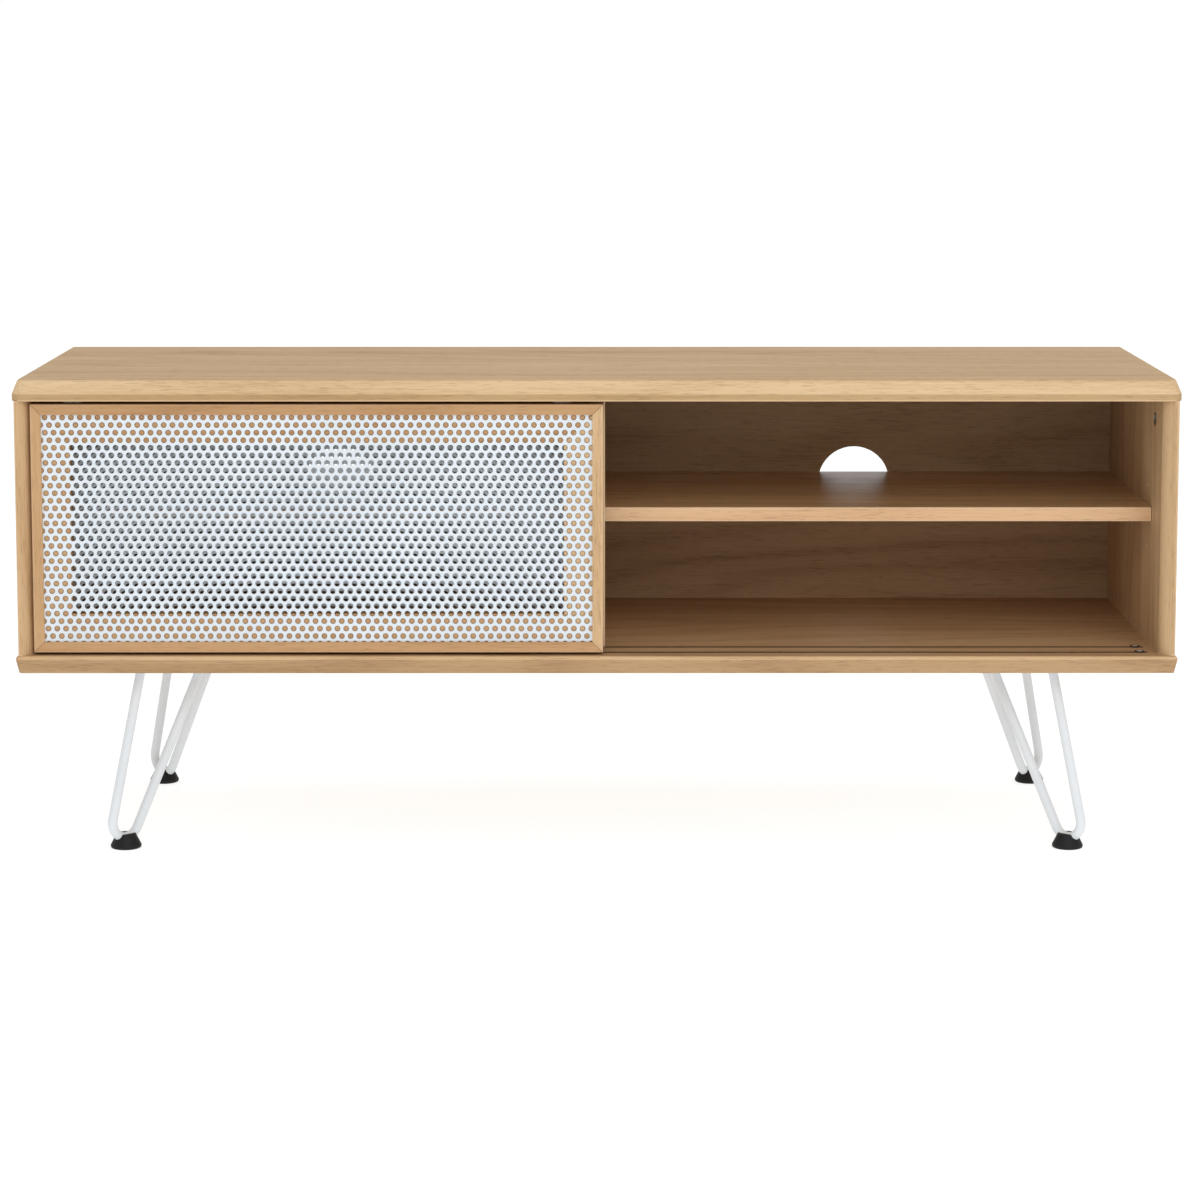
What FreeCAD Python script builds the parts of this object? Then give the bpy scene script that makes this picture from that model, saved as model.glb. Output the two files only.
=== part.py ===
import FreeCAD, Part
import math
import os

os.makedirs("parts", exist_ok=True)
V = FreeCAD.Vector

# A low media cabinet on four bent-rod legs, with two mesh doors that slide past each other.
# X runs along the front, Y from front to back, Z up. The origin is on the floor, under the middle.

# overall size
width = 1194.0
depth = 394.0
leg_height = 189.0
bottom_thick = 18.0
inside_height = 263.0
top_thick = 22.0

# boards
side_thick = 15.0
side_inset = 3.0
side_front_inset = 1.0
side_splay = 17.0
side_bulge = 2.0
side_nose = 2.0
lip_height_top = 7.0
lip_height_bottom = 4.0
top_bevel = 6.0
bottom_bevel = 3.0
top_corner_radius = 13.0
bottom_corner_radius = 4.0
top_arris = 4.0
bottom_arris = 3.5
shelf_thick = 15.0
shelf_setback = 76.0
shelf_gap = 0.75
shelf_underside = 336.5
back_thick = 4.0
back_inset = 4.0
groove_depth = 5.3
groove_play = 0.1
cable_hole_radius = 40.0
cable_hole_x = 290.0
cable_hole_z = 340.0

# doors and their tracks
door_width = 585.0
door_height = 256.7
door_thick = 22.0
door_lift = 2.7
front_door_left = -578.5
rear_door_left = -576.5
front_door_setback = 7.0
door_pitch = 31.7
rail_width = 40.0
rail_lip = 11.0
rail_arris = 1.5
mesh_recess = 2.2
mesh_thick = 0.9
mesh_slot = 1.0
mesh_tuck = 5.0
hole_radius = 3.0
hole_pitch = 9.0
row_pitch = hole_pitch * math.sqrt(3) / 2
first_row_drop = 2.7
first_hole_inset = 3.9
hole_rows = 31
hole_columns = 63
track_behind_face = 18.5
track_half = 570.0
track_width = 6.4
track_slot = 3.8
track_depth = 7.0
track_slot_depth = 5.5
stop_x = 561.0
stop_radius = 5.2
stop_proud = 1.4
fin_thick = 2.8

# legs
foot_x = 490.5
foot_y = 165.5
rod_radius = 5.0
bend_radius = 17.0
rod_lowest = 11.0
outer_lean = math.radians(14.5)
inner_lean = math.radians(29.0)
plate_thick = 3.0
plate_start = 8.0
plate_end = 128.0
plate_half = 22.0
leg_screw_length = 13.0
foot_height = 15.2
foot_radius = 16.0
foot_top_radius = 9.5

# fittings
cam_radius = 7.4
cam_depth = 12.0
cam_drop = 25.0
cam_y = 130.0
divider_cam_y = 70.0
dowel_y = 98.0
dowel_radius = 4.0
dowel_long = 18.0
dowel_short = 12.0
pin_radius = 2.5
pin_y_front = -88.0
pin_y_back = 152.0
pin_row_pitch = 32.0
pin_rise = 2.3
pin_depth = 7.0

# levels worked out from the sizes above
bottom_top = leg_height + bottom_thick
top_under = bottom_top + inside_height
height = top_under + top_thick
side_outer = width / 2 - side_inset
side_inner = side_outer - side_thick
front = -depth / 2
back = depth / 2
back_face = back - back_inset - back_thick
shelf_front = front + shelf_setback
shelf_top = shelf_underside + shelf_thick
pin_z = shelf_underside + pin_rise
divider_half = side_thick / 2
mount_z = leg_height - plate_thick


def save(name, shape):
    """Write one sub-part and say how many solids it has."""
    if not shape.isValid():
        print("INVALID", name)
    shape.exportStep("parts/" + name + ".step")
    print(name, len(shape.Solids), round(shape.Volume))


def box(x0, x1, y0, y1, z0, z1):
    """A block between two corners."""
    return Part.makeBox(x1 - x0, y1 - y0, z1 - z0, V(x0, y0, z0))


def rod(x, y, z, direction, radius, length):
    """A cylinder from a point along a direction."""
    return Part.makeCylinder(radius, length, V(x, y, z), direction)


def prism(points, along):
    """A flat polygon pushed along a vector."""
    return Part.Face(Part.makePolygon(points + points[:1])).extrude(along)


def turned(profile):
    """A solid turned about the Z axis from radius and height pairs."""
    points = [V(r, 0, h) for r, h in profile]
    return Part.Face(Part.makePolygon(points + points[:1])).revolve(V(0, 0, 0), V(0, 0, 1), 360)


def group(shapes):
    """Separate solids that share one node."""
    return Part.Compound(shapes)


def cut_all(shape, tools):
    """Take several tools out of a shape."""
    return shape.cut(tools) if tools else shape


def stadium(x0, x1, y, half, z0, z1):
    """A straight slot shape with round ends, along X."""
    middle = box(x0 + half, x1 - half, y - half, y + half, z0, z1)
    ends = [rod(x, y, z0, V(0, 0, 1), half, z1 - z0) for x in (x0 + half, x1 - half)]
    return middle.fuse(ends).removeSplitter()


def board_outline(inset, radius, z):
    """The outline of the top or bottom at one level: round front corners, square back corners."""
    x = width / 2 - inset
    y = front + inset
    turn = radius * (1 - math.sqrt(0.5))
    left = Part.Arc(V(-x, y + radius, z), V(-x + turn, y + turn, z), V(-x + radius, y, z))
    right = Part.Arc(V(x - radius, y, z), V(x - turn, y + turn, z), V(x, y + radius, z))
    edges = [
        Part.makeLine(V(x, back, z), V(-x, back, z)),
        Part.makeLine(V(-x, back, z), V(-x, y + radius, z)),
        left.toShape(),
        Part.makeLine(V(-x + radius, y, z), V(x - radius, y, z)),
        right.toShape(),
        Part.makeLine(V(x, y + radius, z), V(x, back, z)),
    ]
    return Part.Wire(edges)


def round_top_arris(shape, z, radius):
    """Round the edges of the face at level z, except along the back."""
    edges = []
    for edge in shape.Edges:
        bounds = edge.BoundBox
        flat = abs(bounds.ZMin - z) < 0.01 and abs(bounds.ZMax - z) < 0.01
        if flat and bounds.YMin < back - 1.0:
            edges.append(edge)
    return shape.makeFillet(radius, edges)


def fitting_ys(side):
    """Where an upright's cams and screws are, front and back. The divider stops short of the doors."""
    return (-cam_y if side else -divider_cam_y, cam_y)


def cam_positions():
    """Every place where an upright is drawn up against the top: x, y and the side the cam faces."""
    places = []
    for side in (-1, 0, 1):
        for y in fitting_ys(side):
            if side == 0:
                places.append((-divider_half, y, 1))
            else:
                places.append((side * side_inner, y, side))
    return places


def upright_centre(side):
    """The middle of an upright's thickness."""
    return side * (side_inner + side_outer) / 2


def dowels(z0, z1):
    """Two beech dowels for each upright, chamfered at both ends."""
    made = []
    for side in (-1, 0, 1):
        for y in (-dowel_y, dowel_y):
            peg = rod(upright_centre(side), y, z0, V(0, 0, 1), dowel_radius, z1 - z0)
            made.append(peg.makeChamfer(1.0, [e for e in peg.Edges if e.Closed]))
    return made


def cam_bolt(x, y, facing):
    """A steel bolt: threaded into the top, with a waist and a head that the cam pulls on."""
    centre = x + facing * side_thick / 2
    cam_z = top_under - cam_drop
    solid = turned([(0, 0), (3.3, 0.6), (3.3, 2.4), (2.0, 4.0), (2.0, 8.0), (3.0, 9.0), (3.0, 22.0),
                    (3.9, 22.5), (3.9, 23.4), (2.9, 24.0), (2.9, 34.0), (1.8, 36.0), (0, 36.0)])
    solid.translate(V(centre, y, cam_z - 1.5))
    return solid


def cam_lock(x, y, facing):
    """A zinc cam: a disc with a rim, a cross for the driver and a hollow for the bolt's head."""
    z = top_under - cam_drop
    axis = V(facing, 0, 0)
    disc = rod(x, y, z, axis, cam_radius, cam_depth)
    rim = rod(x, y, z, axis, cam_radius - 1.2, 0.8)
    cross = []
    for half_y, half_z in ((0.9, 4.2), (4.2, 0.9)):
        x0, x1 = sorted((x, x + facing * 3.0))
        cross.append(box(x0, x1, y - half_y, y + half_y, z - half_z, z + half_z))
    bolt_x = x + facing * side_thick / 2
    bolt_way = box(bolt_x - 4.0, bolt_x + 4.0, y - 4.1, y + 4.1, z - 2.5, z + cam_radius + 1)
    return disc.cut([rim, bolt_way] + cross)


def cam_bore(x, y, facing):
    """The pocket for a cam and the hole that the bolt comes down."""
    z = top_under - cam_drop
    pocket = rod(x, y, z, V(facing, 0, 0), cam_radius + 0.1, cam_depth + 0.3)
    bolt_x = x + facing * side_thick / 2
    return pocket.fuse(rod(bolt_x, y, z, V(0, 0, 1), 4.0, cam_drop))


def panel_screw(side, y, socket):
    """A connecting screw with a flush head, driven up through the bottom into an upright."""
    screw = turned([(0, 0), (5.0, 0), (5.0, 1.2), (3.4, 3.6), (3.4, 14.0), (2.7, 15.0), (2.7, 46.0),
                    (0, 49.0)])
    if socket:
        screw = screw.cut(Part.makeCylinder(2.3, 2.4))
    screw.translate(V(upright_centre(side), y, leg_height))
    return screw


def panel_screws(side, socket=True):
    """Both connecting screws of an upright."""
    return [panel_screw(side, y, socket) for y in fitting_ys(side)]


def round_screw(place, direction, head_radius, shank_radius, length):
    """A domed cross-head screw whose head sits on the point given and whose shank goes along."""
    dome = 0.45 * head_radius
    reach = (head_radius ** 2 + dome ** 2) / (2 * dome)
    ball = Part.makeSphere(reach, V(0, 0, -dome + reach))
    head = ball.common(Part.makeCylinder(head_radius, dome, V(0, 0, -dome)))
    for half_x, half_y in ((0.16, 0.6), (0.6, 0.16)):
        slot = box(-half_x * head_radius, half_x * head_radius, -half_y * head_radius,
                   half_y * head_radius, -dome - 0.1, -0.35 * dome)
        head = head.cut(slot)
    shank = Part.makeCylinder(shank_radius, length - shank_radius)
    tip = Part.makeCone(shank_radius, 0.3, shank_radius, V(0, 0, length - shank_radius))
    screw = head.fuse([shank, tip]).removeSplitter()
    turn = FreeCAD.Rotation(V(0, 0, 1), direction)
    screw.Placement = FreeCAD.Placement(place, turn)
    return screw


def pin_places(shelf_row):
    """Where shelf pins go: x of the board face, y, z and the way into the board."""
    places = []
    for face_x, inward in ((-side_inner, -1), (-divider_half, 1), (divider_half, -1), (side_inner, 1)):
        for y in (pin_y_front, pin_y_back):
            places.append((face_x, y, pin_z + shelf_row * pin_row_pitch, inward))
    return places


def pin_hole_tools():
    """The three rows of blind holes in both faces of each bay."""
    tools = []
    for row in (-1, 0, 1):
        for x, y, z, inward in pin_places(row):
            tools.append(rod(x, y, z, V(inward, 0, 0), pin_radius, pin_depth))
    return tools


def track_lines():
    """The two lines that the tracks follow, front door first."""
    first = front + front_door_setback + track_behind_face
    return (first, first + door_pitch)


# ---------------------------------------------------------------- boards

def track_grooves(z0, z1):
    """Grooves for the two tracks."""
    return [stadium(-track_half, track_half, y, track_width / 2, z0, z1) for y in track_lines()]


def stop_pockets(z0, z1):
    """Round pockets and pilot holes at the ends of the tracks."""
    tools = []
    for y in track_lines():
        for x in (-stop_x, stop_x):
            tools.append(rod(x, y, z0, V(0, 0, 1), 1.4, z1 - z0))
    return tools


def top_panel():
    """The top: a bevelled edge over a short upright lip, grooved underneath."""
    lower = Part.Face(board_outline(0, top_corner_radius, top_under))
    slab = lower.extrude(V(0, 0, lip_height_top))
    lip_top = board_outline(0, top_corner_radius, top_under + lip_height_top)
    crown = board_outline(top_bevel, top_corner_radius - 3.0, height)
    panel = slab.fuse(Part.makeLoft([lip_top, crown], True, True)).removeSplitter()
    panel = round_top_arris(panel, height, top_arris)
    tools = track_grooves(top_under, top_under + track_depth)
    tools += stop_pockets(top_under, top_under + 15.0)
    tools.append(box(-side_inner - groove_depth, side_inner + groove_depth, back_face - groove_play,
                     back_face + back_thick + groove_play, top_under, top_under + groove_depth))
    tools += dowels(top_under - dowel_long, top_under + dowel_short)
    tools += [cam_bolt(*place) for place in cam_positions()]
    return cut_all(panel, tools)


def bottom_panel():
    """The bottom: a rounded lip that slopes in below, grooved on top for the tracks."""
    under = board_outline(bottom_bevel, bottom_corner_radius, leg_height)
    lip = board_outline(0, bottom_corner_radius, bottom_top - lip_height_bottom)
    slope = Part.makeLoft([under, lip], True, True)
    slab = Part.Face(lip).extrude(V(0, 0, lip_height_bottom))
    panel = slope.fuse(slab).removeSplitter()
    panel = round_top_arris(panel, bottom_top, bottom_arris)
    tools = track_grooves(bottom_top - track_depth, bottom_top)
    tools += stop_pockets(bottom_top - 15.0, bottom_top)
    tools.append(box(-side_inner - groove_depth, side_inner + groove_depth, back_face - groove_play,
                     back_face + back_thick + groove_play, bottom_top - groove_depth, bottom_top))
    tools += dowels(bottom_top - dowel_short, bottom_top + dowel_long)
    for side in (-1, 0, 1):
        tools += panel_screws(side, socket=False)
    for name in legs:
        tools += leg_screws(name)
    return cut_all(panel, tools)


def side_panel(side):
    """An outer upright, with its front edge splayed inwards in a shallow curve."""
    outer = side * side_outer
    inner = side * side_inner
    y0 = front + side_front_inset
    start = V(outer - side * side_nose, y0, bottom_top)
    finish = V(inner, y0 + side_splay, bottom_top)
    chord = finish.sub(start)
    outwards = V(chord.y, -chord.x, 0) * side
    outwards = outwards * (-1.0 if outwards.y > 0 else 1.0)
    middle = (start + finish) * 0.5 + outwards.normalize() * side_bulge
    corner = V(outer, y0 + side_nose, bottom_top)
    rounding = V(outer - side * side_nose * 0.3, y0 + side_nose * 0.3, bottom_top)
    edges = [
        Part.makeLine(V(inner, back, bottom_top), V(outer, back, bottom_top)),
        Part.makeLine(V(outer, back, bottom_top), corner),
        Part.Arc(corner, rounding, start).toShape(),
        Part.Arc(start, middle, finish).toShape(),
        Part.makeLine(finish, V(inner, back, bottom_top)),
    ]
    panel = Part.Face(Part.Wire(edges)).extrude(V(0, 0, inside_height))
    tools = [cam_bore(x, y, facing) for x, y, facing in cam_positions() if x == inner]
    tools += dowels(top_under - dowel_long, top_under + dowel_short)
    tools += dowels(bottom_top - dowel_short, bottom_top + dowel_long)
    tools += panel_screws(side, socket=False)
    tools += pin_hole_tools()
    x0, x1 = sorted((inner, inner + side * groove_depth))
    tools.append(box(x0, x1, back_face - groove_play, back_face + back_thick + groove_play,
                     bottom_top, top_under))
    return cut_all(panel, tools)


def centre_divider():
    """The middle upright, set back behind both doors."""
    panel = box(-divider_half, divider_half, shelf_front, back_face - groove_play, bottom_top, top_under)
    tools = [cam_bore(x, y, facing) for x, y, facing in cam_positions() if x == -divider_half]
    tools += dowels(top_under - dowel_long, top_under + dowel_short)
    tools += dowels(bottom_top - dowel_short, bottom_top + dowel_long)
    tools += panel_screws(0, socket=False)
    tools += pin_hole_tools()
    tools += back_screws()
    return cut_all(panel, tools)


def back_screws():
    """Screws through the back into the divider."""
    heights = [bottom_top + inside_height * part for part in (0.15, 0.5, 0.85)]
    return [round_screw(V(0, back_face + back_thick, z), V(0, -1, 0), 3.4, 1.7, 20.0) for z in heights]


def back_panel():
    """The thin back, held in grooves, with one round cable hole for each bay."""
    reach = side_inner + groove_depth - groove_play
    z0 = bottom_top - groove_depth + groove_play
    z1 = top_under + groove_depth - groove_play
    sheet = box(-reach, reach, back_face, back_face + back_thick, z0, z1)
    holes = [rod(x, back_face - 1, cable_hole_z, V(0, 1, 0), cable_hole_radius, back_thick + 2)
             for x in (-cable_hole_x, cable_hole_x)]
    return cut_all(sheet, holes + back_screws())


def shelf(side):
    """A loose shelf, notched underneath where it drops over its pins."""
    x0, x1 = sorted((side * (divider_half + shelf_gap), side * (side_inner - shelf_gap)))
    board = box(x0, x1, shelf_front, back_face - 0.5, shelf_underside, shelf_top)
    front_edges = [e for e in board.Edges if e.BoundBox.YMax < shelf_front + 0.1 and e.BoundBox.XLength > 1]
    board = board.makeFillet(1.2, front_edges)
    notches = []
    half = pin_radius + 0.2
    for end, inward in ((x0, 1), (x1, -1)):
        for y in (pin_y_front, pin_y_back):
            notches.append(rod(end, y, pin_z, V(inward, 0, 0), half, 11.0))
            a, b = sorted((end, end + inward * 11.0))
            notches.append(box(a, b, y - half, y + half, shelf_underside - 1, pin_z))
    return cut_all(board, notches)


def shelf_pins():
    """Eight round steel pins, each half in its board and half in the shelf's notch."""
    pins = []
    for x, y, z, inward in pin_places(0):
        pins.append(rod(x + inward * pin_depth, y, z, V(-inward, 0, 0), pin_radius, pin_depth + 9.5))
    return pins


# ---------------------------------------------------------------- tracks

def track(y, floor_z, open_up):
    """A moulded channel with round ends, let into a board."""
    way = 1 if open_up else -1
    z0, z1 = sorted((floor_z, floor_z + way * track_depth))
    channel = stadium(-track_half, track_half, y, track_width / 2, z0, z1)
    mouth = floor_z + way * track_depth
    s0, s1 = sorted((mouth - way * track_slot_depth, mouth + way))
    inset = (track_width - track_slot) / 2
    channel = channel.cut(stadium(-track_half + inset, track_half - inset, y, track_slot / 2, s0, s1))
    screws = [rod(x, y, z0 - 1, V(0, 0, 1), 1.4, z1 - z0 + 2) for x in (-stop_x, stop_x)]
    return channel.cut(screws)


def track_stops(surface_z, way):
    """Round caps at the ends of both tracks, each with a tongue that fills the slot."""
    stops = []
    for y in track_lines():
        for x in (-stop_x, stop_x):
            z0, z1 = sorted((surface_z, surface_z + way * stop_proud))
            cap = rod(x, y, z0, V(0, 0, 1), stop_radius, z1 - z0)
            t0, t1 = sorted((surface_z, surface_z - way * track_slot_depth))
            tongue = box(x - 5.0, x + 5.0, y - track_slot / 2, y + track_slot / 2, t0, t1)
            stop = cap.fuse(tongue).removeSplitter()
            stops.append(stop.cut(track_screw(x, y, surface_z, way, crossed=False)))
    return stops


def track_screw(x, y, surface_z, way, crossed=True):
    """A flush cross-head screw through an end cap, with its head level with the cap."""
    screw = turned([(0, 0), (2.9, 0), (2.9, 0.4), (1.4, 1.9), (1.4, 14.0), (0, 15.5)])
    if crossed:
        for half_x, half_y in ((0.4, 1.7), (1.7, 0.4)):
            screw = screw.cut(box(-half_x, half_x, -half_y, half_y, -0.1, 0.8))
    turn = FreeCAD.Rotation(V(0, 0, 1), V(0, 0, -way))
    screw.Placement = FreeCAD.Placement(V(x, y, surface_z + way * stop_proud), turn)
    return screw


def track_screws():
    """One screw for each end cap, above and below."""
    screws = []
    for surface_z, way in ((bottom_top, 1), (top_under, -1)):
        for y in track_lines():
            for x in (-stop_x, stop_x):
                screws.append(track_screw(x, y, surface_z, way))
    return screws


# ---------------------------------------------------------------- doors

class Door:
    """One sliding door: four mitred rails round a perforated sheet, with glides behind."""

    def __init__(self, left, face_y):
        self.x0 = left
        self.x1 = left + door_width
        self.y0 = face_y
        self.y1 = face_y + door_thick
        self.z0 = bottom_top + door_lift
        self.z1 = self.z0 + door_height
        self.track_y = face_y + track_behind_face

    def inner_box(self, inset, y0, y1):
        """A block inside the door's outline by the same amount all round."""
        return box(self.x0 + inset, self.x1 - inset, y0, y1, self.z0 + inset, self.z1 - inset)

    def frame(self):
        """The whole frame before it is parted at the mitres."""
        whole = self.inner_box(0, self.y0, self.y1)
        face_edges = [e for e in whole.Edges if e.BoundBox.YMax < self.y0 + 0.1]
        whole = whole.makeFillet(rail_arris, face_edges)
        slot_front = self.y0 + mesh_recess
        slot_back = slot_front + mesh_slot
        tools = [
            self.inner_box(rail_width, self.y0 - 1, self.y1 + 1),
            self.inner_box(rail_lip, self.y0 - 1, slot_back),
            self.inner_box(rail_lip - mesh_tuck - 0.2, slot_front, slot_back),
        ]
        return whole.cut(tools)

    def mitre_dowels(self):
        """Two dowels across each mitre."""
        pegs = []
        y = (self.y0 + mesh_recess + mesh_slot + self.y1) / 2
        for x, way_x in ((self.x0, 1), (self.x1, -1)):
            for z, way_z in ((self.z0, 1), (self.z1, -1)):
                for along in (15.0, 27.0):
                    direction = V(way_x, 0, -way_z).normalize()
                    middle = V(x + way_x * along, y, z + way_z * along)
                    start = middle - direction * 11.0
                    pegs.append(Part.makeCylinder(3.0, 22.0, start, direction))
        return pegs

    def fitting_x(self):
        """Where the glides and guides sit along the door."""
        return (self.x0 + 42.0, self.x1 - 42.0)

    def glide_pocket(self, x, at_bottom):
        """The pocket that a glide or guide fills, in the back of a rail."""
        if at_bottom:
            return box(x - 15, x + 15, self.track_y - 4, self.y1, self.z0, self.z0 + 14)
        return box(x - 12, x + 12, self.track_y - 4, self.y1, self.z1 - 16, self.z1)

    def glide_screw(self, x, at_bottom):
        """The screw that holds a glide or guide, driven in from the back."""
        z = self.z0 + 7 if at_bottom else self.z1 - 9
        return round_screw(V(x, self.y1, z), V(0, -1, 0), 3.2, 1.5, 16.0)

    def glide(self, x):
        """A bottom glide: a block with a long fin that runs in the lower track."""
        block = self.glide_pocket(x, True)
        fin_bottom = bottom_top - track_slot_depth + 0.5
        fin = box(x - 12, x + 12, self.track_y - fin_thick / 2, self.track_y + fin_thick / 2,
                  fin_bottom, self.z0)
        ends = [e for e in fin.Edges if e.BoundBox.ZMax < fin_bottom + 0.1 and e.BoundBox.XLength < 0.1]
        fin = fin.makeFillet(2.0, ends)
        return block.fuse(fin).removeSplitter().cut(self.glide_screw(x, True))

    def guide(self, x):
        """A top guide: a block with a round-cornered fin that runs in the upper track."""
        block = self.glide_pocket(x, False)
        fin_top = top_under + 3.6
        fin = box(x - 9, x + 9, self.track_y - fin_thick / 2, self.track_y + fin_thick / 2,
                  self.z1, fin_top)
        ends = [e for e in fin.Edges if e.BoundBox.ZMin > fin_top - 0.1 and e.BoundBox.XLength < 0.1]
        fin = fin.makeFillet(2.0, ends)
        return block.fuse(fin).removeSplitter().cut(self.glide_screw(x, False))

    def rails(self):
        """The four rails, each with its mitred ends, dowel holes and pockets."""
        r = rail_width
        y, up = self.y0 - 1, V(0, door_thick + 2, 0)
        corner = {(i, j): V(self.x0 if i == 0 else self.x1, y, self.z0 if j == 0 else self.z1)
                  for i in (0, 1) for j in (0, 1)}
        inside = {(i, j): corner[i, j] + V(r if i == 0 else -r, 0, r if j == 0 else -r)
                  for i in (0, 1) for j in (0, 1)}
        spans = {
            "bottom_rail": ((0, 0), (1, 0)),
            "top_rail": ((0, 1), (1, 1)),
            "left_stile": ((0, 0), (0, 1)),
            "right_stile": ((1, 0), (1, 1)),
        }
        whole = self.frame()
        made = {}
        for name, (a, b) in spans.items():
            wedge = prism([corner[a], corner[b], inside[b], inside[a]], up)
            piece = whole.common(wedge)
            tools = self.mitre_dowels()
            if name == "bottom_rail":
                tools += [self.glide_pocket(x, True) for x in self.fitting_x()]
                tools += [self.glide_screw(x, True) for x in self.fitting_x()]
            if name == "top_rail":
                tools += [self.glide_pocket(x, False) for x in self.fitting_x()]
                tools += [self.glide_screw(x, False) for x in self.fitting_x()]
            made[name] = piece.cut(tools)
        return made

    def mesh(self):
        """The sheet: staggered rows of round holes, joined row by row, its edges tucked into the rails."""
        y = self.y0 + mesh_recess + (mesh_slot - mesh_thick) / 2
        tuck = rail_lip - mesh_tuck
        x0, x1 = self.x0 + tuck, self.x1 - tuck
        levels = [self.z1 - rail_lip - first_row_drop - row * row_pitch for row in range(hole_rows)]
        strips = []
        for row, level in enumerate(levels):
            above = self.z1 - tuck if row == 0 else level + row_pitch / 2
            below = self.z0 + tuck if row == hole_rows - 1 else level - row_pitch / 2
            corners = [V(x0, y, below), V(x1, y, below), V(x1, y, above), V(x0, y, above)]
            wires = [Part.makePolygon(corners + corners[:1])]
            shift = -hole_pitch / 2 if row % 2 else 0.0
            for column in range(hole_columns):
                x = self.x0 + rail_lip + first_hole_inset + shift + column * hole_pitch
                wires.append(Part.Wire(Part.makeCircle(hole_radius, V(x, y, level), V(0, 1, 0))))
            strips.append(Part.Face(wires).extrude(V(0, mesh_thick, 0)))
        return strips[0].fuse(strips[1:])


# ---------------------------------------------------------------- legs

legs = {
    "front_left": (-1, -1),
    "front_right": (1, -1),
    "rear_left": (-1, 1),
    "rear_right": (1, 1),
}


def leg_point(name, along, across, z):
    """A point by a leg: along its diagonal from the foot inwards, and across it."""
    side_x, side_y = legs[name]
    diagonal = V(-side_x, -side_y, 0).normalize()
    sideways = V(-diagonal.y, diagonal.x, 0)
    return V(side_x * foot_x, side_y * foot_y, z) + diagonal * along + sideways * across


def leg_rod(name):
    """One round steel bar bent into a narrow V, standing in the diagonal's upright plane."""
    bend_z = rod_lowest + bend_radius
    over = mount_z + 12.0

    def at(along, z):
        return leg_point(name, along, 0, z)

    outer_tangent = (-bend_radius * math.cos(outer_lean), bend_z + bend_radius * math.sin(outer_lean))
    inner_tangent = (bend_radius * math.cos(inner_lean), bend_z - bend_radius * math.sin(inner_lean))
    outer_top = (outer_tangent[0] + (over - outer_tangent[1]) * math.tan(outer_lean), over)
    inner_top = (inner_tangent[0] + (over - inner_tangent[1]) * math.tan(inner_lean), over)
    path = Part.Wire([
        Part.makeLine(at(*outer_top), at(*outer_tangent)),
        Part.Arc(at(*outer_tangent), at(0, rod_lowest), at(*inner_tangent)).toShape(),
        Part.makeLine(at(*inner_tangent), at(*inner_top)),
    ])
    heading = at(*outer_tangent) - at(*outer_top)
    section = Part.Wire(Part.makeCircle(rod_radius, at(*outer_top), heading))
    bar = path.makePipeShell([section], True, False)
    low = leg_point(name, 60, 0, 0)
    return bar.common(box(low.x - 150, low.x + 150, low.y - 150, low.y + 150, 0, mount_z))


def leg_plate_places(name):
    """The four screws of a mounting plate."""
    return [leg_point(name, along, across, mount_z)
            for along in (plate_start + 9, plate_end - 9) for across in (-13, 13)]


def leg_screws(name):
    """Screws that hold a mounting plate up against the bottom."""
    return [round_screw(place, V(0, 0, 1), 4.2, 2.0, leg_screw_length) for place in leg_plate_places(name)]


def leg_plate(name):
    """A flat steel plate with round corners, under the bottom."""
    corners = [leg_point(name, along, across, mount_z)
               for along, across in ((plate_start, -plate_half), (plate_end, -plate_half),
                                     (plate_end, plate_half), (plate_start, plate_half))]
    plate = prism(corners, V(0, 0, plate_thick))
    plate = plate.makeFillet(8.0, [e for e in plate.Edges if e.BoundBox.ZLength > plate_thick - 0.1])
    return plate.cut(leg_screws(name))


def foot(name):
    """A rubber cap: a short cone with a round-bottomed saddle for the bend of the bar."""
    side_x, side_y = legs[name]
    cap = turned([(0, 0), (foot_radius - 1.6, 0), (foot_radius - 0.5, 0.6), (foot_radius, 1.8),
                  (foot_radius, 3.2), (foot_top_radius + 0.8, foot_height - 0.6),
                  (foot_top_radius, foot_height), (0, foot_height)])
    cap.translate(V(side_x * foot_x, side_y * foot_y, 0))
    way_in = leg_point(name, 0, -rod_radius, rod_lowest + bend_radius)
    across = leg_point(name, 0, rod_radius, rod_lowest + bend_radius) - way_in
    saddle = Part.makeCylinder(bend_radius, 2 * rod_radius, way_in, across)
    return cap.cut([leg_rod(name), saddle])


# ---------------------------------------------------------------- build

save("top_panel", top_panel())
save("bottom_panel", bottom_panel())
save("side_panel_left", side_panel(-1))
save("side_panel_right", side_panel(1))
save("centre_divider", centre_divider())
save("back_panel", back_panel())
save("back_screws", group(back_screws()))
save("shelf_left", shelf(-1))
save("shelf_right", shelf(1))
save("shelf_pins", group(shelf_pins()))
save("cam_locks", group([cam_lock(*place) for place in cam_positions()]))
save("cam_bolts", group([cam_bolt(*place) for place in cam_positions()]))
save("top_dowels", group(dowels(top_under - dowel_long, top_under + dowel_short)))
save("bottom_dowels", group(dowels(bottom_top - dowel_short, bottom_top + dowel_long)))
save("panel_screws", group([screw for side in (-1, 0, 1) for screw in panel_screws(side)]))

for place, y in zip(("front", "rear"), track_lines()):
    save("lower_track_" + place, track(y, bottom_top - track_depth, True))
    save("upper_track_" + place, track(y, top_under + track_depth, False))
save("lower_track_stops", group(track_stops(bottom_top, 1)))
save("upper_track_stops", group(track_stops(top_under, -1)))
save("track_screws", group(track_screws()))

for name in legs:
    save("leg_rod_" + name, leg_rod(name))
    save("leg_plate_" + name, leg_plate(name))
    save("foot_" + name, foot(name))
save("leg_screws", group([screw for name in legs for screw in leg_screws(name)]))

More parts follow.
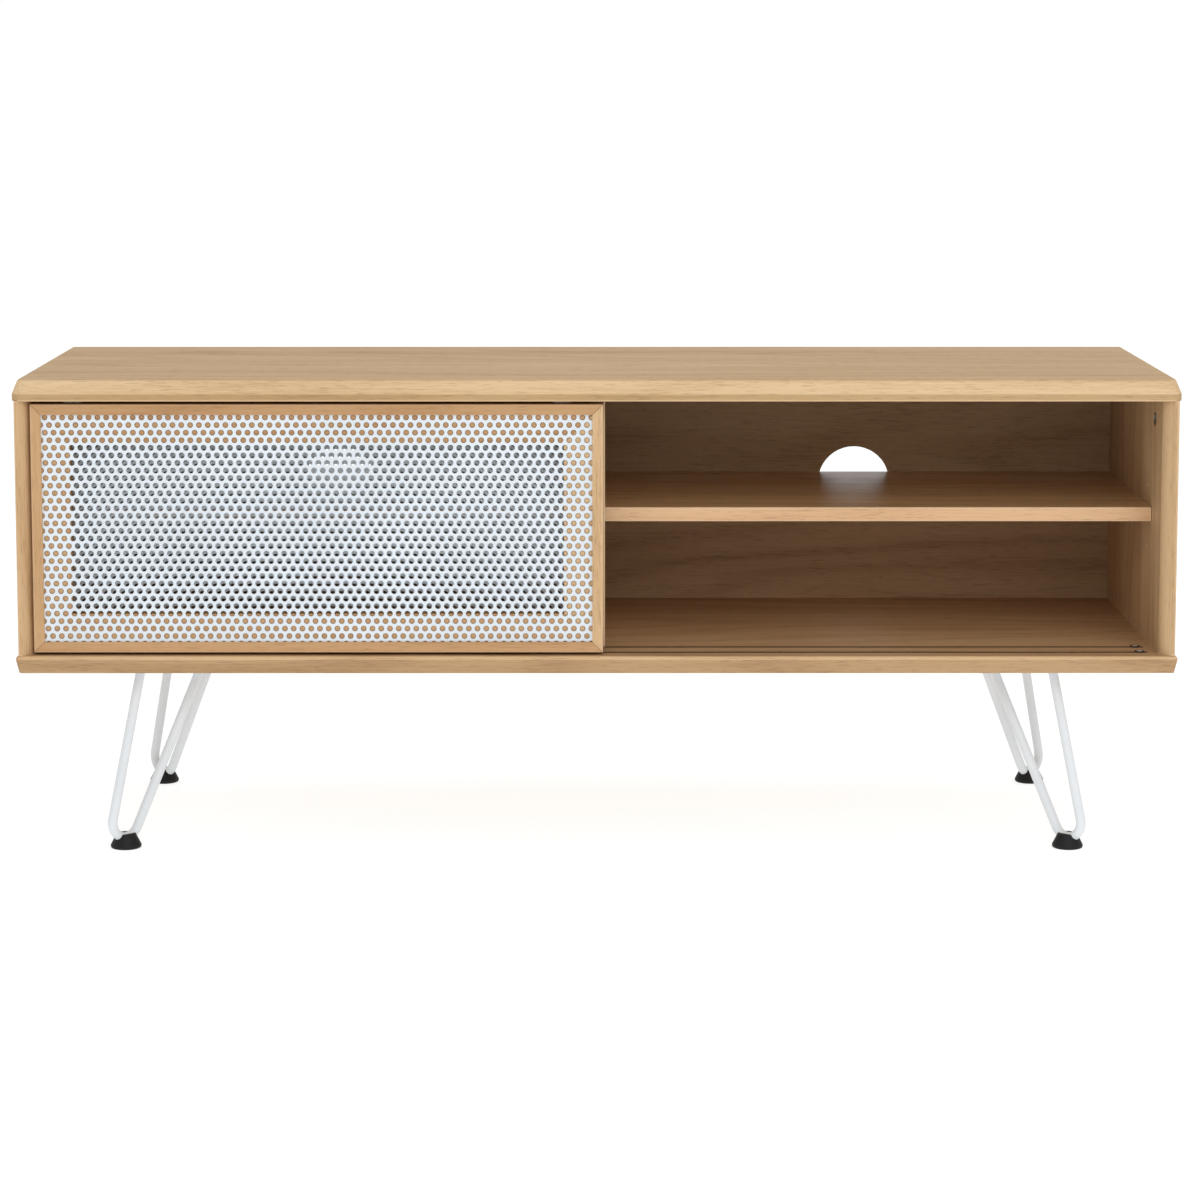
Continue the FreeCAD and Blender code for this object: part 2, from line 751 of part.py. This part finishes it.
face_y = front + front_door_setback
doors = {
    "front_door": Door(front_door_left, face_y),
    "rear_door": Door(rear_door_left, face_y + door_pitch),
}
for name, door in doors.items():
    for rail, shape in door.rails().items():
        save(name + "_" + rail, shape)
    save(name + "_mesh", door.mesh())
    save(name + "_mitre_dowels", group(door.mitre_dowels()))
    save(name + "_glides", group([door.glide(x) for x in door.fitting_x()]))
    save(name + "_guides", group([door.guide(x) for x in door.fitting_x()]))
    screws = [door.glide_screw(x, low) for x in door.fitting_x() for low in (True, False)]
    save(name + "_glide_screws", group(screws))
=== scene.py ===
import math
import bmesh
import bpy
from mathutils import Euler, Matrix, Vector


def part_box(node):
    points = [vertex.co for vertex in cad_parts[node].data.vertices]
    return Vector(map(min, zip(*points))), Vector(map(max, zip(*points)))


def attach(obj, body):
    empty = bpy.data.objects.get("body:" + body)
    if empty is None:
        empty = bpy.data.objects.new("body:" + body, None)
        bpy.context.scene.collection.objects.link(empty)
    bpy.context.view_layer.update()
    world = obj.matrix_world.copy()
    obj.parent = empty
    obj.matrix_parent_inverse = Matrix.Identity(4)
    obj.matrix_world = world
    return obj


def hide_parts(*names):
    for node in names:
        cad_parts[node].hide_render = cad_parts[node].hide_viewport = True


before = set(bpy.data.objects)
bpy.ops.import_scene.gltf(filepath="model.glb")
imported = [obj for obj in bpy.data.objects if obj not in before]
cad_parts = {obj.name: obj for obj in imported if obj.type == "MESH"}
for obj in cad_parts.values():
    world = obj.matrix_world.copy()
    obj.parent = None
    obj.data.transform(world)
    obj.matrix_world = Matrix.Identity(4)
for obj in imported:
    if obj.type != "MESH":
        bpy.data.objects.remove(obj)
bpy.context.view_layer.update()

# The looks of a low oak media cabinet: printed oak boards, two sliding doors with
# powder-coated perforated sheets, bent steel legs and rubber feet.

# camera, in metres and degrees
CAMERA_PLACE = (0.0008, -3.7829, 0.8338)
CAMERA_TILT = 7.063
CAMERA_TURN = 0.040
CAMERA_LENS = 106.26
CAMERA_SENSOR = 36
CAMERA_RISE = -0.1
CAMERA_REACH = 60

# perforated sheet, in metres
HOLE_RADIUS = 0.003
HOLE_PITCH = 0.009
ROW_PITCH = HOLE_PITCH * math.sqrt(3) / 2
HOLE_COLUMNS = 63
HOLE_ROWS = 31
HOLE_SEGMENTS = 14
SHEET_TUCK = 0.005
FIRST_ROW_DROP = 0.0027
FIRST_HOLE_INSET = 0.0039
HOLE_SOFTENING = 0.00014
WELD = 0.00001

# marks on the boards, and the painted shade rings around the sheet holes, in metres
EDGE_WEAR = 0.0022
GRAIN_DEPTH = 0.00012
MITRE_LINE = (0.0002, 0.0007)
# size and depth of the painted shade rings on the wood under the sheet holes
HOLE_SHADE_RING = (0.0014, 0.0029)
HOLE_SHADE_DEPTH = (0.0004, 0.0007)
STRIP_FADE_BELOW = 0.0003
STRIP_FADE_ABOVE = 0.0006

# room
FLOOR_REACH = 14.0
FLOOR_GLOW = 0.72
SKY_LIGHT = 0.70
SKY_SEEN = 0.31


# ---------------------------------------------------------------- wiring nodes

class Wire:
    """An output in a node tree. Arithmetic on it adds Math nodes."""

    def __init__(self, bench, socket):
        self.bench = bench
        self.socket = socket

    def __add__(self, other):
        return self.bench.maths("ADD", self, other)

    def __radd__(self, other):
        return self.bench.maths("ADD", other, self)

    def __sub__(self, other):
        return self.bench.maths("SUBTRACT", self, other)

    def __rsub__(self, other):
        return self.bench.maths("SUBTRACT", other, self)

    def __mul__(self, other):
        return self.bench.maths("MULTIPLY", self, other)

    def __rmul__(self, other):
        return self.bench.maths("MULTIPLY", other, self)

    def __truediv__(self, other):
        return self.bench.maths("DIVIDE", self, other)

    def __rtruediv__(self, other):
        return self.bench.maths("DIVIDE", other, self)

    def __mod__(self, other):
        return self.bench.maths("MODULO", self, other)

    def __rmod__(self, other):
        return self.bench.maths("MODULO", other, self)

    def __pow__(self, other):
        return self.bench.maths("POWER", self, other)

    def __rpow__(self, other):
        return self.bench.maths("POWER", other, self)


class Bench:
    """A node tree while it is being wired up."""

    def __init__(self, tree):
        self.tree = tree

    def add(self, kind, settings=None, sockets=None, stops=None, out=0):
        """One node of any type: its settings first, then values or wires for its sockets."""
        node = self.tree.nodes.new(kind)
        for name, value in (settings or {}).items():
            setattr(node, name, value)
        if stops:
            ramp = node.color_ramp
            ramp.elements[0].position, ramp.elements[0].color = stops[0]
            ramp.elements[1].position, ramp.elements[1].color = stops[-1]
            for place, colour in stops[1:-1]:
                ramp.elements.new(place).color = colour
        for name, value in (sockets or {}).items():
            for part in value if isinstance(value, list) else [value]:
                if isinstance(part, Wire):
                    self.tree.links.new(part.socket, node.inputs[name])
                else:
                    node.inputs[name].default_value = part
        return Wire(self, node.outputs[out]) if node.outputs else node

    def maths(self, operation, *values):
        """A sum on numbers."""
        return self.add("ShaderNodeMath", {"operation": operation}, dict(enumerate(values)))

    def vectors(self, operation, *values):
        """A sum on vectors."""
        return self.add("ShaderNodeVectorMath", {"operation": operation}, dict(enumerate(values)))

    def parts(self, vector):
        """The three numbers of a vector."""
        first = self.add("ShaderNodeSeparateXYZ", sockets={0: vector})
        return [Wire(self, socket) for socket in first.socket.node.outputs]

    def mix(self, share, first, second, how="MIX"):
        """Two colours mixed by a share."""
        return self.add("ShaderNodeMix", {"data_type": "RGBA", "blend_type": how},
                        {0: share, 6: first, 7: second}, out=2)

    def noise(self, place, stretch, shift=(0, 0, 0), detail=2.0, roughness=0.5):
        """Soft noise that repeats so many times a metre along each axis."""
        spot = self.vectors("MULTIPLY_ADD", place, stretch, shift)
        return self.add("ShaderNodeTexNoise", sockets={
            "Vector": spot, "Scale": 1.0, "Detail": detail, "Roughness": roughness})

    def between(self, value, low, high):
        """0 below low, 1 above high, and a smooth step between."""
        return self.add("ShaderNodeMapRange", {"interpolation_type": "SMOOTHSTEP"},
                        {0: value, 1: low, 2: high})


def new_finish(name, **fixed):
    """A material with one Principled surface, and the constants that are set on it."""
    material = bpy.data.materials.new(name)
    material.use_nodes = True
    bench = Bench(material.node_tree)
    bench.tree.nodes.clear()
    surface = bench.tree.nodes.new("ShaderNodeBsdfPrincipled")
    for socket, value in fixed.items():
        surface.inputs[socket.replace("_", " ")].default_value = value
    bench.add("ShaderNodeOutputMaterial", sockets={0: Wire(bench, surface.outputs[0])})
    return material, bench, surface


def dress(bench, surface, colour, roughness, height, depth, strength=1.0):
    """Feed a surface its colour, roughness and a bump of so many metres."""
    bump = bench.add("ShaderNodeBump", sockets={
        "Height": height, "Distance": depth, "Strength": strength})
    for socket, wire in (("Base Color", colour), ("Roughness", roughness), ("Normal", bump)):
        bench.tree.links.new(wire.socket, surface.inputs[socket])


def here(bench):
    """The place on the object, in metres."""
    return bench.add("ShaderNodeTexCoord", out="Object")


def edge_wear(bench, place, low, high, reach):
    """1 along the edges of a board's box and 0 on its faces."""
    middle = (low + high) / 2
    half = (high - low) / 2
    inward = bench.vectors("SUBTRACT", half, bench.vectors(
        "ABSOLUTE", bench.vectors("SUBTRACT", place, middle)))
    x, y, z = bench.parts(inward)
    largest = bench.maths("MAXIMUM", bench.maths("MAXIMUM", x, y), z)
    smallest = bench.maths("MINIMUM", bench.maths("MINIMUM", x, y), z)
    second = x + y + z - largest - smallest
    return 1 - bench.between(second, reach * 0.25, reach)


# ---------------------------------------------------------------- finishes

PALE_OAK = (0.620, 0.410, 0.226, 1)
HONEY_OAK = (0.540, 0.335, 0.168, 1)
DEEP_OAK = (0.410, 0.236, 0.108, 1)
PORE_BROWN = (0.200, 0.105, 0.046, 1)
WORN_OAK = (0.720, 0.510, 0.310, 1)
# brown of the painted shade rings under the sheet holes
HOLE_SHADE_BROWN = (0.240, 0.150, 0.085, 1)


def strip_between(bench, place, bottom, top):
    """1 between two levels, such as on an edge strip, and 0 elsewhere."""
    level = bench.parts(place)[2]
    return bench.between(level, bottom, bottom + STRIP_FADE_BELOW) * (
        1 - bench.between(level, top, top + STRIP_FADE_ABOVE))


def mitre_lines(bench, place, door):
    """1 on the thin joints at a door's four corners."""
    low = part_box(door + "_bottom_rail")[0]
    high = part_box(door + "_top_rail")[1]
    middle = (low + high) / 2
    half = (high - low) / 2
    x, _, z = bench.parts(bench.vectors("SUBTRACT", half, bench.vectors(
        "ABSOLUTE", bench.vectors("SUBTRACT", place, middle))))
    return 1 - bench.between(bench.maths("ABSOLUTE", x - z), *MITRE_LINE)


def painted_hole_shade_rings(bench, place, door):
    """Painted shade: soft dark rings on the wood just behind the sheet, one under the rim of each
    hole, where the sheet shades the wood.
    """
    low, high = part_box(door + "_mesh")
    x, y, z = bench.parts(place)
    level = (high.z - SHEET_TUCK - FIRST_ROW_DROP - z) / ROW_PITCH
    row = bench.maths("ROUND", level)
    column = (x - (low.x + SHEET_TUCK + FIRST_HOLE_INSET)) / HOLE_PITCH + bench.maths(
        "FLOORED_MODULO", row, 2) * 0.5
    aside = (column - bench.maths("ROUND", column)) * HOLE_PITCH
    above = (level - row) * ROW_PITCH
    far = (aside * aside + above * above) ** 0.5
    under = 1 - bench.between(bench.maths("ABSOLUTE", y - high.y), *HOLE_SHADE_DEPTH)
    return bench.between(far, *HOLE_SHADE_RING) * under


def oak(board, grain, number, warm=1.0, gloss=0.3, light=1.0, figure=0.13,
        strips=(), door=None):
    """Printed oak: cathedral figure, fibres and pores along the grain, paler on its edges."""
    material, bench, surface = new_finish(board + "_oak", Specular_IOR_Level=gloss)
    place = here(bench)
    low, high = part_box(board)
    shift = Vector((3.7 * number, 1.9 * number, 5.3 * number))

    def stretch(along, across):
        return (along, across, across) if grain == "x" else (across, across, along)

    bands = bench.noise(place, stretch(0.75, 15), shift, 2.0, 0.55)
    contour = bench.noise(place, stretch(0.8, 7.5), shift, 1.2, 0.35)
    fibres = bench.noise(place, stretch(9, 620), shift, 4.0, 0.62)
    dashes = bench.noise(place, stretch(55, 1300), shift, 1.0, 0.5)
    rings = (bench.maths("SINE", contour * 78 + fibres * 1.6) * 0.5 + 0.5) ** 2.2
    pores = bench.between(dashes + rings * 0.06, 0.60, 0.70)
    tone = bands * 0.50 + rings * figure + fibres * 0.48
    colour = bench.add("ShaderNodeValToRGB", sockets={0: tone}, stops=[
        (0.34, PALE_OAK), (0.56, HONEY_OAK), (0.82, DEEP_OAK)])
    colour = bench.mix(pores * 0.34, colour, PORE_BROWN)
    # light and warmth factors lighten or darken the whole board; on the door rails, the back
    # panel and the right side panel this is painted light and shade
    colour = bench.mix(1.0, colour, (light, light * warm ** 0.5, light * warm, 1), "MULTIPLY")
    # bands made lighter or darker by height: painted light and shade on the top and bottom
    # panels' front edges
    for bottom, top, tint in strips:
        strip = strip_between(bench, place, low.z + bottom, low.z + top)
        colour = bench.mix(strip, colour, bench.mix(1.0, colour, tint, "MULTIPLY"))
    wear = edge_wear(bench, place, low, high, EDGE_WEAR) * (0.35 + fibres * 0.5)
    colour = bench.mix(wear, colour, WORN_OAK)
    if door:
        colour = bench.mix(mitre_lines(bench, place, door) * 0.75, colour, PORE_BROWN)
        # painted shade: a dark ring on the wood behind the sheet under each hole's rim
        colour = bench.mix(painted_hole_shade_rings(bench, place, door) * 0.62, colour, HOLE_SHADE_BROWN)
    dress(bench, surface, colour, 0.56 - gloss * 0.45 + fibres * 0.18 + pores * 0.12,
          fibres * 0.6 - pores * 0.8, GRAIN_DEPTH, 0.55)
    return material


def powder_coat(name, tint):
    """White powder coat: a faint orange peel and a little dust in it."""
    material, bench, surface = new_finish(name, Specular_IOR_Level=0.5)
    place = here(bench)
    cloud = bench.noise(place, (9, 9, 9), (2, 5, 1), 3.0)
    peel = bench.noise(place, (900, 900, 900), (0, 0, 0), 2.0)
    specks = bench.between(bench.noise(place, (420, 420, 420), (7, 1, 3), 0.0), 0.76, 0.82)
    shade = tuple(part * 0.93 for part in tint[:3]) + (1,)
    colour = bench.mix(bench.between(cloud, 0.3, 0.7), shade, tint)
    colour = bench.mix(specks * 0.25, colour, (0.45, 0.46, 0.47, 1))
    dress(bench, surface, colour, 0.30 + peel * 0.12 + cloud * 0.06, peel, 0.00003, 0.5)
    return material


def moulded(name, dark, light, roughness, grains, gloss=0.4):
    """A moulded plastic, rubber or nylon with a fine matt skin."""
    material, bench, surface = new_finish(name, Specular_IOR_Level=gloss)
    place = here(bench)
    skin = bench.noise(place, (grains, grains, grains), (1, 2, 3), 3.0, 0.6)
    cloud = bench.noise(place, (30, 30, 30), (4, 0, 2), 2.0)
    colour = bench.mix(skin * 0.6 + cloud * 0.4, dark, light)
    dress(bench, surface, colour, roughness + skin * 0.14, skin, 0.00006, 0.6)
    return material


def zinc_plate(name, dark, light, metal=1.0):
    """Zinc with fine turning marks and a slightly uneven sheen."""
    material, bench, surface = new_finish(name, Metallic=metal)
    place = here(bench)
    marks = bench.noise(place, (2600, 2600, 300), (0, 0, 0), 2.0)
    cloud = bench.noise(place, (160, 160, 160), (3, 3, 3), 2.0)
    colour = bench.mix(cloud, dark, light)
    dress(bench, surface, colour, 0.20 + marks * 0.16 + cloud * 0.08, marks, 0.00002, 0.5)
    return material


def beech():
    """Plain beech for the dowels, with short flecks."""
    material, bench, surface = new_finish("beech_dowel")
    place = here(bench)
    flecks = bench.noise(place, (500, 500, 90), (0, 0, 0), 3.0)
    colour = bench.mix(flecks, (0.50, 0.33, 0.19, 1), (0.68, 0.50, 0.32, 1))
    dress(bench, surface, colour, 0.55 + flecks * 0.1, flecks, 0.0001, 0.5)
    return material


def paint(node, material):
    """Give a CAD node one finish."""
    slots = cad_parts[node].data.materials
    slots.clear()
    slots.append(material)


# ---------------------------------------------------------------- painting the boards

# grain across or upright, then each door rail's grain, light and warmth; these light and warmth
# factors are painted light and shade, the top rail darkest and the right stile brightest
ACROSS = ["top_panel", "bottom_panel", "back_panel", "shelf_left", "shelf_right"]
UPRIGHT = ["side_panel_left", "side_panel_right", "centre_divider"]
DOORS = ["front_door", "rear_door"]
RAILS = {"top_rail": ("x", 0.88, 0.83), "bottom_rail": ("x", 0.93, 0.84),
         "left_stile": ("z", 0.97, 0.93), "right_stile": ("z", 1.09, 1.10)}

# strips of the board made lighter or darker: from and to, in metres above the board's underside,
# and the colour factor. The top panel's darker strip is painted shade on its front lip and its
# lighter strip a painted highlight on its bevel; the bottom panel's strip is a painted highlight
# along its front edge; the shelves' strip makes their front edges lighter.
SHELF_OAK = {"gloss": 0.8, "strips": [(-0.0005, 0.0143, (1.23, 1.18, 1.14, 1))]}
SPECIAL = {
    "top_panel": {"gloss": 0.15, "figure": 0.08, "warm": 1.15,
                  "strips": [(-0.0100, 0.0066, (0.87, 0.84, 0.77, 1)),
                             (0.0072, 0.0205, (1.20, 1.25, 1.31, 1))]},
    "bottom_panel": {"light": 0.81, "warm": 0.99,
                     "strips": [(0.0142, 0.0176, (1.36, 1.40, 1.45, 1))]},
    "shelf_left": SHELF_OAK,
    "shelf_right": SHELF_OAK,
    # painted shade on the recessed back panel, and painted light on the right side panel
    "back_panel": {"light": 0.78},
    "side_panel_right": {"light": 1.10, "warm": 1.15},
}

for number, board in enumerate(ACROSS + UPRIGHT):
    grain = "x" if board in ACROSS else "z"
    paint(board, oak(board, grain, number + 1, **SPECIAL.get(board, {})))
for number, door in enumerate(DOORS):
    for turn, (rail, (grain, light, warm)) in enumerate(RAILS.items()):
        board = door + "_" + rail
        paint(board, oak(board, grain, 11 + 4 * number + turn, warm, light=light, door=door))

leg_coat = powder_coat("leg_coat", (0.755, 0.785, 0.810, 1))
sheet_coat = powder_coat("sheet_coat", (0.712, 0.760, 0.804, 1))
# painted shade: dark matt walls inside the sheet's holes
shaded_hole_wall = moulded("shaded_hole_wall", (0.09, 0.085, 0.08, 1), (0.22, 0.21, 0.20, 1),
                      0.40, 900)
rubber = moulded("foot_rubber", (0.006, 0.006, 0.006, 1), (0.022, 0.022, 0.023, 1),
                 0.42, 500, gloss=0.16)
nylon = moulded("glide_nylon", (0.55, 0.54, 0.50, 1), (0.72, 0.71, 0.67, 1), 0.38, 300)
track_brown = moulded("track_brown", (0.018, 0.010, 0.006, 1), (0.048, 0.027, 0.016, 1),
                      0.45, 400)
zinc = zinc_plate("bright_zinc", (0.55, 0.56, 0.58, 1), (0.80, 0.80, 0.79, 1))
dull_zinc = zinc_plate("dull_zinc", (0.70, 0.70, 0.70, 1), (0.90, 0.90, 0.89, 1), 0.3)
cast_zinc = zinc_plate("cast_zinc", (0.16, 0.16, 0.17, 1), (0.42, 0.42, 0.43, 1))
dowel_beech = beech()

CORNERS = ["front_left", "front_right", "rear_left", "rear_right"]
FITTINGS = {
    cast_zinc: ["cam_locks"],
    dull_zinc: ["track_screws", "panel_screws"],
    zinc: ["back_screws", "shelf_pins", "cam_bolts", "leg_screws",
           "front_door_glide_screws", "rear_door_glide_screws"],
    dowel_beech: ["top_dowels", "bottom_dowels"] + [door + "_mitre_dowels" for door in DOORS],
    nylon: [door + part for door in DOORS for part in ("_glides", "_guides")],
    track_brown: [level + part for level in ("lower_", "upper_")
                  for part in ("track_front", "track_rear", "track_stops")],
    rubber: ["foot_" + corner for corner in CORNERS],
    leg_coat: [part + corner for part in ("leg_rod_", "leg_plate_") for corner in CORNERS],
}
for material, nodes in FITTINGS.items():
    for node in nodes:
        paint(node, material)


# ---------------------------------------------------------------- perforated sheets

def perforating_tree():
    """A flat sheet with staggered rows of round holes, softened on their front edges."""
    tree = bpy.data.node_groups.new("perforated_sheet", "GeometryNodeTree")
    sizes = {"Width": "Float", "Height": "Float", "Thickness": "Float", "Hole radius": "Float",
             "Softening": "Float", "Pitch": "Float", "Row pitch": "Float", "First x": "Float",
             "First y": "Float", "Columns": "Int", "Rows": "Int", "Segments": "Int",
             "Coat": "Material", "Rim": "Material"}
    for name, kind in sizes.items():
        tree.interface.new_socket(name, in_out="INPUT", socket_type="NodeSocket" + kind)
    tree.interface.new_socket("Sheet", in_out="OUTPUT", socket_type="NodeSocketGeometry")
    bench = Bench(tree)
    given = bench.add("NodeGroupInput").socket.node
    size = {name: Wire(bench, given.outputs[name]) for name in sizes}

    index = bench.add("GeometryNodeInputIndex")
    row = bench.maths("FLOOR", (index + 0.5) / size["Columns"])
    column = index - row * size["Columns"]
    x = size["First x"] + column * size["Pitch"] - (row % 2) * size["Pitch"] * 0.5
    y = size["First y"] - row * size["Row pitch"]
    spot = bench.add("ShaderNodeCombineXYZ", sockets={0: x, 1: y})
    centres = bench.add("GeometryNodePoints", sockets={
        "Count": size["Rows"] * size["Columns"], "Position": spot})

    def pressed(shape):
        """A shape repeated at every hole."""
        repeated = bench.add("GeometryNodeInstanceOnPoints",
                             sockets={"Points": centres, "Instance": shape})
        return bench.add("GeometryNodeRealizeInstances", sockets={0: repeated})

    def lifted(shape, height):
        move = bench.add("ShaderNodeCombineXYZ", sockets={2: height})
        return bench.add("GeometryNodeTransform", sockets={0: shape, "Translation": move})

    outline = bench.add("GeometryNodeCurvePrimitiveQuadrilateral",
                        sockets={0: size["Width"], 1: size["Height"]})

    def face(radius):
        """The flat sheet between its outline and the rims of the holes."""
        rim = bench.add("GeometryNodeCurvePrimitiveCircle",
                        sockets={"Resolution": size["Segments"], "Radius": radius})
        curves = bench.add("GeometryNodeJoinGeometry", sockets={0: [outline, pressed(rim)]})
        return bench.add("GeometryNodeFillCurve", sockets={0: curves})

    wide = size["Hole radius"] + size["Softening"]
    wall_height = size["Thickness"] - size["Softening"]
    wall = bench.add("GeometryNodeMeshCone", {"fill_type": "NONE"}, {
        "Vertices": size["Segments"], "Radius Top": size["Hole radius"],
        "Radius Bottom": size["Hole radius"], "Depth": wall_height})
    lip = bench.add("GeometryNodeMeshCone", {"fill_type": "NONE"}, {
        "Vertices": size["Segments"], "Radius Top": wide,
        "Radius Bottom": size["Hole radius"], "Depth": size["Softening"]})
    hole = bench.add("GeometryNodeJoinGeometry", sockets={0: [wall, lifted(lip, wall_height)]})
    side = bench.add("GeometryNodeCurvePrimitiveLine", sockets={
        "End": bench.add("ShaderNodeCombineXYZ", sockets={1: 0 - size["Thickness"]})})
    edge = bench.add("GeometryNodeCurveToMesh", sockets={0: outline, 1: side})
    flat = bench.add("GeometryNodeJoinGeometry", sockets={
        0: [lifted(face(wide), size["Thickness"]), face(size["Hole radius"]), edge]})
    sheet = bench.add("GeometryNodeJoinGeometry", sockets={0: [flat, pressed(hole)]})
    sheet = bench.add("GeometryNodeMergeByDistance", sockets={0: sheet, "Distance": WELD})
    sheet = bench.add("GeometryNodeRealizeInstances", sockets={0: sheet})
    sheet = bench.add("GeometryNodeSetMaterial", sockets={0: sheet, "Material": size["Coat"]})
    # the hole walls get the dark Rim material: painted shade inside the holes
    facing = bench.parts(bench.add("GeometryNodeInputNormal"))[2]
    standing = bench.maths("LESS_THAN", bench.maths("ABSOLUTE", facing), 0.2)
    bench.add("NodeGroupOutput", sockets={0: bench.add("GeometryNodeSetMaterial", sockets={
        0: sheet, "Selection": standing, "Material": size["Rim"]})})
    return tree


def made_mesh(tree, inputs, name):
    """The plain mesh that a Geometry Nodes tree gives for these inputs."""
    maker = bpy.data.objects.new(name + "_maker", bpy.data.meshes.new(name + "_maker"))
    bpy.context.scene.collection.objects.link(maker)
    modifier = maker.modifiers.new("make", "NODES")
    modifier.node_group = tree
    for socket in tree.interface.items_tree:
        if socket.in_out == "INPUT":
            modifier[socket.identifier] = inputs[socket.name]
    graph = bpy.context.evaluated_depsgraph_get()
    mesh = bpy.data.meshes.new_from_object(maker.evaluated_get(graph))
    bpy.data.objects.remove(maker)
    if mesh.materials[0] is None:
        mesh.materials.pop(index=0)
    mesh.name = name
    return mesh


def face_outwards(mesh):
    """Turn every face of a closed mesh to point out."""
    work = bmesh.new()
    work.from_mesh(mesh)
    bmesh.ops.recalc_face_normals(work, faces=work.faces)
    work.to_mesh(mesh)
    work.free()


low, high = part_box("front_door_mesh")
width, height = high.x - low.x, high.z - low.z
flat_sheet = made_mesh(perforating_tree(), {
    "Width": width, "Height": height, "Thickness": high.y - low.y,
    "Hole radius": HOLE_RADIUS, "Softening": HOLE_SOFTENING,
    "Pitch": HOLE_PITCH, "Row pitch": ROW_PITCH,
    "First x": SHEET_TUCK + FIRST_HOLE_INSET - width / 2,
    "First y": height / 2 - SHEET_TUCK - FIRST_ROW_DROP,
    "Columns": HOLE_COLUMNS, "Rows": HOLE_ROWS, "Segments": HOLE_SEGMENTS,
    "Coat": sheet_coat, "Rim": shaded_hole_wall,
}, "perforated_sheet")
face_outwards(flat_sheet)

for door in DOORS:
    low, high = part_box(door + "_mesh")
    stand = Euler((math.radians(90), 0, 0)).to_matrix().to_4x4()
    stand.translation = Vector(((low.x + high.x) / 2, high.y, (low.z + high.z) / 2))
    mesh = flat_sheet.copy()
    mesh.transform(stand)
    sheet = bpy.data.objects.new(door + "_perforated_sheet", mesh)
    bpy.context.scene.collection.objects.link(sheet)
    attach(sheet, door)
    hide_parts(door + "_mesh")


# ---------------------------------------------------------------- room, lights, camera

def floor():
    """A wide pale floor."""
    mesh = bpy.data.meshes.new("studio_floor")
    corners = [(x * FLOOR_REACH, y * FLOOR_REACH, 0)
               for x, y in ((-1, -1), (1, -1), (1, 1), (-1, 1))]
    mesh.from_pydata(corners, [], [(0, 1, 2, 3)])
    sheet = bpy.data.objects.new("studio_floor", mesh)
    bpy.context.scene.collection.objects.link(sheet)
    material, bench, surface = new_finish(
        "studio_white", Specular_IOR_Level=0.1,
        Emission_Color=(0.96, 0.99, 1, 1), Emission_Strength=FLOOR_GLOW)
    cloud = bench.noise(here(bench), (0.8, 0.8, 0.8), (0, 0, 0), 2.0)
    colour = bench.mix(cloud, (0.49, 0.49, 0.49, 1), (0.51, 0.51, 0.51, 1))
    dress(bench, surface, colour, 0.8 + cloud * 0.1, cloud, 0.0001, 0.1)
    mesh.materials.append(material)


def softbox(name, place, aim, width, height, power):
    """A large soft light."""
    lamp = bpy.data.lights.new(name, "AREA")
    lamp.shape = "RECTANGLE"
    lamp.size, lamp.size_y, lamp.energy = width, height, power
    box = bpy.data.objects.new(name, lamp)
    box.location = place
    box.rotation_euler = (Vector(aim) - Vector(place)).to_track_quat("-Z", "Y").to_euler()
    bpy.context.scene.collection.objects.link(box)


floor()
softbox("front_softbox", (0.7, -3.4, 2.1), (0, 0, 0.35), 3.4, 1.8, 40)
softbox("overhead_softbox", (0.2, -0.2, 3.6), (0, 0, 0), 4.5, 3.5, 20)

world = bpy.data.worlds.new("studio")
world.use_nodes = True
sky = Bench(world.node_tree)
sky.tree.nodes.clear()
seen = sky.add("ShaderNodeLightPath", out="Is Camera Ray")
white = sky.add("ShaderNodeBackground", sockets={"Strength": seen * SKY_SEEN + SKY_LIGHT})
sky.add("ShaderNodeOutputWorld", sockets={"Surface": white})
white.socket.node.inputs["Color"].default_value = (1, 1, 1, 1)
bpy.context.scene.world = world
bpy.context.scene.view_settings.view_transform = "Standard"

lens = bpy.data.cameras.new("camera")
lens.lens = CAMERA_LENS
lens.sensor_width = CAMERA_SENSOR
lens.shift_y = CAMERA_RISE
lens.clip_end = CAMERA_REACH
camera = bpy.data.objects.new("camera", lens)
camera.location = CAMERA_PLACE
camera.rotation_euler = (math.radians(90 - CAMERA_TILT), 0, math.radians(-CAMERA_TURN))
bpy.context.scene.collection.objects.link(camera)
bpy.context.scene.camera = camera
